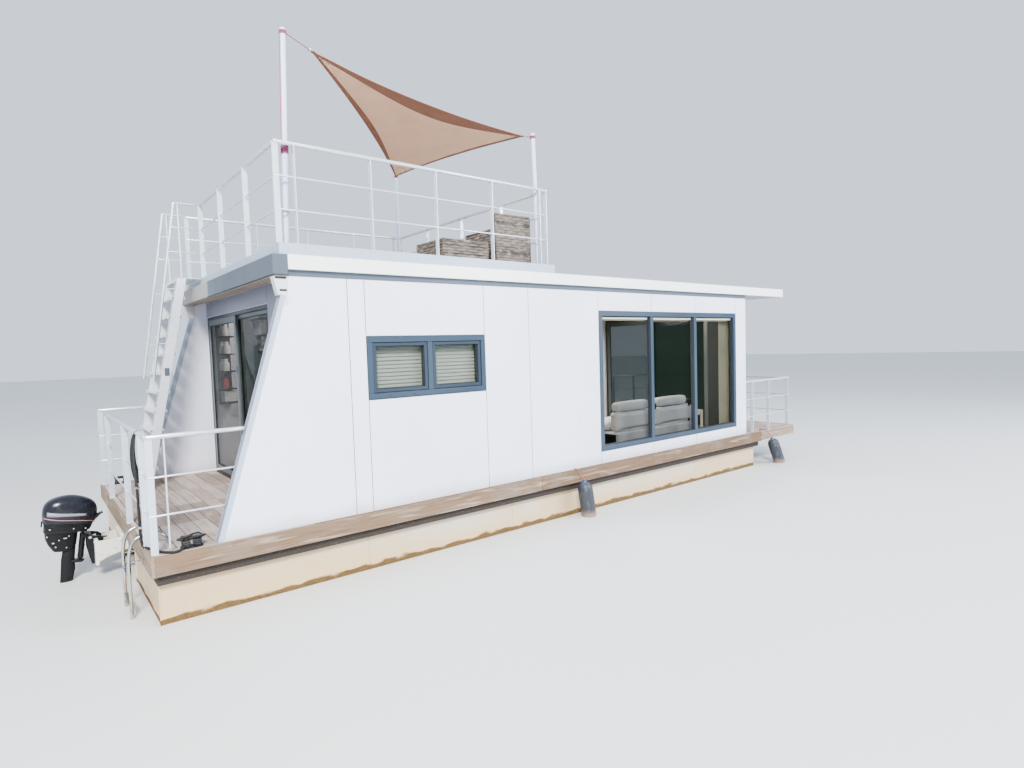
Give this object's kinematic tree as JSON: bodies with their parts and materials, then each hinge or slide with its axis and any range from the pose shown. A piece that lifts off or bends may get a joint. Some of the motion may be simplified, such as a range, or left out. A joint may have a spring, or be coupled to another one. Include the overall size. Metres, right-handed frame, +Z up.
{
  "type": "houseboat",
  "caption": "Flat-roofed houseboat on twin pontoons, with fore and aft decks, railed roof terrace, stair, sun sail and outboard motor.",
  "frame": {"origin": "middle of the boat's bounding box in plan, at the pontoons' underside; the waterline is at z 0.45 m", "axes": "+X towards the bow, +Y to port, +Z up"},
  "size_m": [11.62, 4.3892, 5.781],
  "materials": {
    "hull_paint": "cream hull paint over steel, chalky, brown growth and rust at the waterline",
    "deck_steel": "dark painted steel under the deck, dull",
    "edge_timber": "weathered brown-grey edge board, coarse grain, worn at the top edge",
    "deck_boards": "weathered grey-brown deck boards with narrow gaps",
    "cabin_floor": "light brown plank floor, satin",
    "wall_panel": "white smooth sandwich panel, satin, fine vertical seams",
    "roof_sheet": "light grey roofing membrane",
    "roof_fascia": "bright white edge profile, satin",
    "grey_sheet_metal": "blue-grey coated sheet metal, satin",
    "window_frame": "blue-grey coated window profile, satin",
    "window_glass": "clear double glazing",
    "door_frame": "dark grey coated door profile, satin",
    "rail_aluminium": "brushed light aluminium, dull",
    "stair_aluminium": "light blue-grey aluminium flat bar, dull",
    "mast_coating": "white coated tube",
    "sail_fabric": "sand and orange woven shade cloth with a darker hem",
    "stainless_steel": "polished stainless tube with brown stains near the water",
    "black_iron": "black cast mooring bollard, worn paint",
    "bracket_paint": "off-white painted bracket plates",
    "motor_paint": "glossy near-black paint",
    "propeller_paint": "dark satin propeller paint",
    "fender_vinyl": "dark grey inflated vinyl, dull shine",
    "wicker_weave": "grey-brown woven outdoor wicker with dark bands",
    "sofa_fabric": "light grey woven upholstery",
    "stool_lacquer": "white lacquered wood",
    "curtain_fabric": "cream green pleated curtain"
  },
  "bodies": {
    "root": {"pontoon_starboard": "hull_paint", "pontoon_port": "hull_paint", "platform": "deck_steel", "deck_edge": "edge_timber", "aft_deck": "deck_boards", "bow_deck": "deck_boards", "cabin_floor": "cabin_floor", "wall_starboard": "wall_panel", "wall_port": "wall_panel", "wall_aft": "wall_panel", "wall_bow": "wall_panel", "roof": "roof_sheet", "roof_fascia": "roof_fascia", "roof_aft_beam": "grey_sheet_metal", "terrace": "grey_sheet_metal", "window_small_frame_starboard": "window_frame", "window_small_frame_port": "window_frame", "window_big_frame_starboard": "window_frame", "window_big_frame_port": "window_frame", "window_small_glass_starboard": "window_glass", "window_small_glass_port": "window_glass", "window_big_glass_starboard": "window_glass", "window_big_glass_port": "window_glass", "door_aft_frame": "door_frame", "door_bow_frame": "door_frame", "roof_rail_starboard": "rail_aluminium", "roof_rail_port": "rail_aluminium", "roof_rail_aft": "rail_aluminium", "roof_rail_bow": "rail_aluminium", "deck_rail_starboard": "rail_aluminium", "deck_rail_stern": "rail_aluminium", "deck_rail_port": "rail_aluminium", "bow_rail": "rail_aluminium", "stair_handrail_inner": "rail_aluminium", "stair_handrail_outer": "rail_aluminium", "stair": "stair_aluminium", "mast_aft": "mast_coating", "mast_bow_starboard": "mast_coating", "mast_bow_port": "mast_coating", "sun_sail": "sail_fabric", "swim_ladder": "stainless_steel", "bollard_starboard": "black_iron", "bollard_port": "black_iron", "transom_bracket": "bracket_paint", "motor_clamp": "motor_paint", "fender_mid_starboard": "fender_vinyl", "fender_mid_port": "fender_vinyl", "fender_bow_starboard": "fender_vinyl", "wicker_chair": "wicker_weave", "wicker_stool": "wicker_weave", "sofa_base": "sofa_fabric", "sofa_cushions": "sofa_fabric", "stool": "stool_lacquer", "curtain": "curtain_fabric"},
    "door_aft": {"door_aft_leaf": "door_frame"},
    "door_bow": {"door_bow_leaf": "door_frame"},
    "motor_mount": {"motor_swivel": "motor_paint"},
    "motor": {"motor_leg": "motor_paint", "motor_cowl": "motor_paint"},
    "propeller_shaft": {"propeller": "propeller_paint"}
  },
  "joints": [
    {"name": "door_aft_slide", "type": "slide", "parent": "root", "child": "door_aft", "axis": [0, 1, 0], "range_m": [0, 1.2]},
    {"name": "door_bow_slide", "type": "slide", "parent": "root", "child": "door_bow", "axis": [0, 1, 0], "range_m": [0, 1.08]},
    {"name": "motor_tilt", "type": "hinge", "parent": "root", "child": "motor_mount", "pos_m": [-5.38, 0, 0.89], "axis": [0, 1, 0], "range_deg": [0, 32]},
    {"name": "motor_steer", "type": "hinge", "parent": "motor_mount", "child": "motor", "pos_m": [-5.43744, 0, 0.89807], "axis": [0.1392, 0, 0.9903], "range_deg": [-35, 35]},
    {"name": "propeller_spin", "type": "hinge", "parent": "motor", "child": "propeller_shaft", "pos_m": [-5.76618, 0, 0.24749], "axis": [0.9903, 0, -0.1392], "continuous": true}
  ]
}
